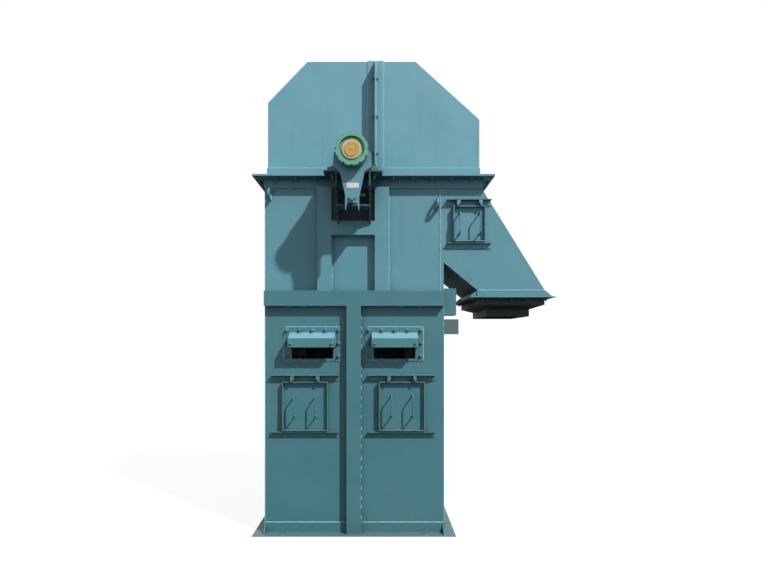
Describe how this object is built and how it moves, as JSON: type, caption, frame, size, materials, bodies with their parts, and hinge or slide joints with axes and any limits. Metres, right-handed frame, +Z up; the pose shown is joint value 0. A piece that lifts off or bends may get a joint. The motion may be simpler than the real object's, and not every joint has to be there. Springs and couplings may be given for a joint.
{
  "type": "bucket elevator",
  "caption": "Upright bucket elevator with flanged plate casing, hooded head, side discharge chute, hinged inspection doors and a shaft backstop.",
  "frame": {"origin": "middle of the casing at the face of the base flange that rests on the floor", "axes": "+Z up, the front with the inspection doors faces -Y, the discharge chute is on +X"},
  "size_m": [2.533, 1.89, 4.006],
  "materials": {
    "teal_lower": "satin blue-green paint, weathered",
    "teal_upper": "satin blue-green paint, sun-bleached",
    "teal_head": "satin blue-green paint, lightest",
    "steel_shaft": "turned steel",
    "cast_housing": "painted casting",
    "backstop_green": "green enamel",
    "ring_yellow": "yellow enamel",
    "cap_orange": "orange enamel",
    "box_grey": "light grey enamel",
    "belt_rubber": "ribbed belt rubber",
    "bucket_steel": "dull pressed steel"
  },
  "bodies": {
    "casing": {"back_wall_lower": "teal_lower", "back_wall_upper": "teal_upper", "backstop_housing": "backstop_green", "backstop_ring": "ring_yellow", "base_flange": "teal_lower", "bucket_belt": "belt_rubber", "buckets": "bucket_steel", "chute_back": "teal_upper", "chute_bottom": "teal_upper", "chute_door_ledges": "teal_upper", "chute_front": "teal_upper", "chute_top": "teal_upper", "front_bearing_bracket": "teal_upper", "front_wall_left": "teal_lower", "front_wall_right": "teal_lower", "front_wall_upper": "teal_upper", "head_flange_lower": "teal_upper", "head_flange_upper": "teal_upper", "head_pulley": "cast_housing", "head_shaft": "steel_shaft", "hood_cheeks_left": "teal_head", "hood_cheeks_right": "teal_head", "hood_seams": "teal_head", "hood_wrap_left": "teal_head", "hood_wrap_right": "teal_head", "left_door_ledges": "teal_lower", "left_wall_upper": "teal_upper", "lifting_lugs": "teal_upper", "lower_posts": "teal_lower", "mid_bands": "teal_upper", "outlet_flange": "teal_upper", "outlet_spout": "teal_upper", "pillow_blocks": "cast_housing", "rear_bearing_bracket": "teal_upper", "right_door_ledges": "teal_lower", "right_wall_upper": "teal_upper", "shaft_end_cap": "cap_orange", "side_box": "box_grey", "side_bracket": "teal_upper", "side_walls_lower": "teal_lower", "torque_arm": "teal_upper", "torque_pin": "steel_shaft", "upper_posts": "teal_upper", "upper_rails": "teal_upper", "vent_hoods": "teal_lower", "vent_plates": "teal_lower"},
    "left_door": {"left_door_leaf": "teal_lower", "left_door_handles": "teal_lower"},
    "right_door": {"right_door_leaf": "teal_lower", "right_door_handles": "teal_lower"},
    "chute_door": {"chute_door_leaf": "teal_upper", "chute_door_handles": "teal_upper"}
  },
  "joints": [
    {"name": "left_door_hinge", "type": "hinge", "parent": "casing", "child": "left_door", "pos_m": [-0.413, -0.492, 1.312], "axis": [-1, 0, 0], "range_deg": [0, 100]},
    {"name": "right_door_hinge", "type": "hinge", "parent": "casing", "child": "right_door", "pos_m": [0.401, -0.492, 1.312], "axis": [-1, 0, 0], "range_deg": [0, 100]},
    {"name": "chute_door_hinge", "type": "hinge", "parent": "casing", "child": "chute_door", "pos_m": [0.969, -0.492, 2.792], "axis": [-1, 0, 0], "range_deg": [0, 100]}
  ]
}
